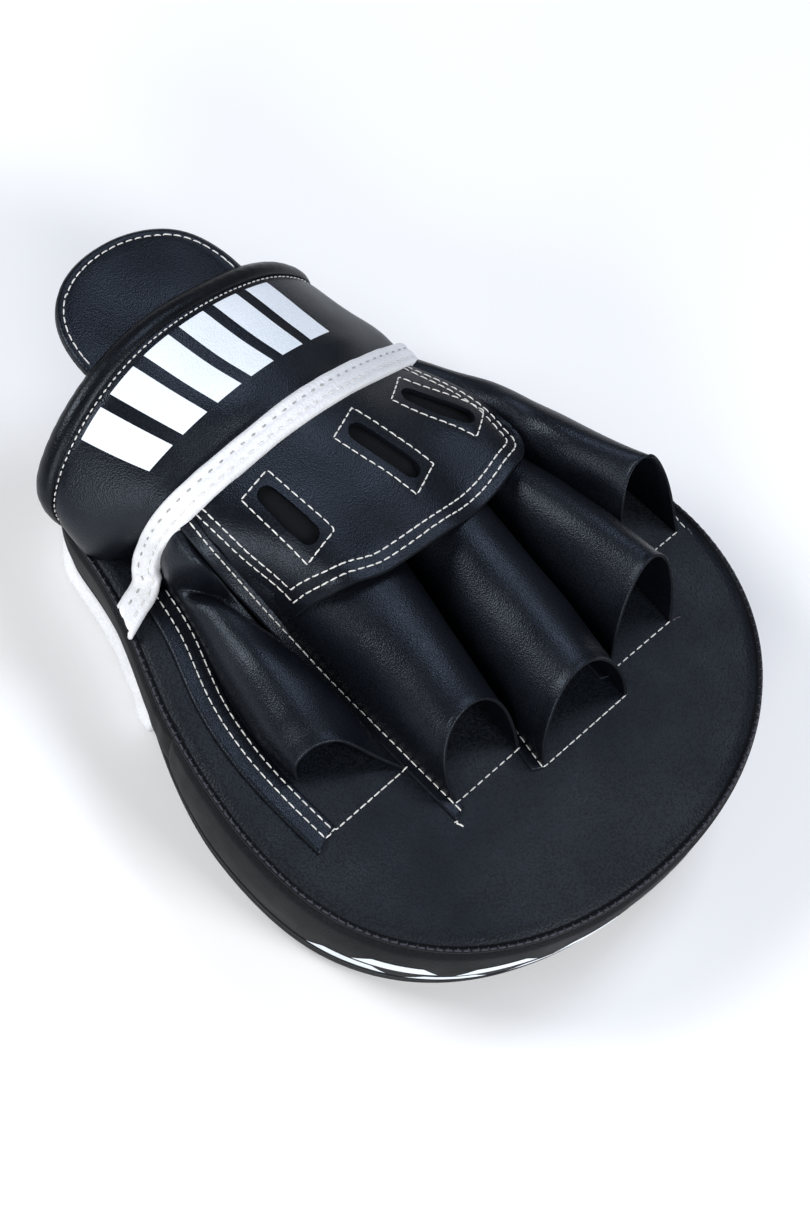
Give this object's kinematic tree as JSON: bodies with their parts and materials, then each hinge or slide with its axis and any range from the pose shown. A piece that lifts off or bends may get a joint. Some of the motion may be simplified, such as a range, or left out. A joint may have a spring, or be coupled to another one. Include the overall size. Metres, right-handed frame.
{
  "type": "focus mitt",
  "caption": "Padded training mitt: an oval strike pad with a glove of open finger sleeves, a vented hand cover, a padded wrist cuff and a half-round pull tab.",
  "frame": {"origin": "on the strike face, at the middle of the round part of the pad", "axes": "+X to the thumb side, +Y to the fingertips, +Z out of the strike face's back, towards the hand"},
  "size_m": [0.2018, 0.2659, 0.0913],
  "materials": {
    "black_leather": "satin",
    "panel_leather": "satin",
    "white_leather": "satin",
    "welt_leather": "satin",
    "foam": "matte",
    "lining_cloth": "matte",
    "mesh_cloth": "matte",
    "white_thread": "matte",
    "dark_thread": "matte",
    "white_print": "satin"
  },
  "bodies": {
    "root": {"strike_face": "black_leather", "strike_foam": "foam", "core_foam": "foam", "backing_foam": "foam", "tip_gusset": "black_leather", "heel_gusset": "black_leather", "face_welt": "welt_leather", "rim_welt": "welt_leather", "heel_binding": "white_leather", "back_panel": "panel_leather", "palm_backing": "lining_cloth", "palm_grip": "panel_leather", "hand_cover": "black_leather", "vent_mesh": "mesh_cloth", "hand_shell": "black_leather", "thumb_web": "black_leather", "wrist_binding": "white_leather", "cuff_shell": "black_leather", "cuff_foam": "foam", "cuff_lining": "lining_cloth", "cuff_edge_roll": "welt_leather", "thumb_sleeve": "black_leather", "index_sleeve": "black_leather", "middle_sleeve": "black_leather", "ring_sleeve": "black_leather", "little_sleeve": "black_leather"},
    "pull_tab": {"tab_leather": "black_leather", "tab_backing": "black_leather"}
  },
  "joints": [
    {"name": "tab_flex", "type": "hinge", "parent": "root", "child": "pull_tab", "pos_m": [0.0115, -0.15, 0.0805], "axis": [0.9945, 0, 0.1045], "range_deg": [-45, 60], "stiffness_Nm_per_rad": 0.03}
  ]
}
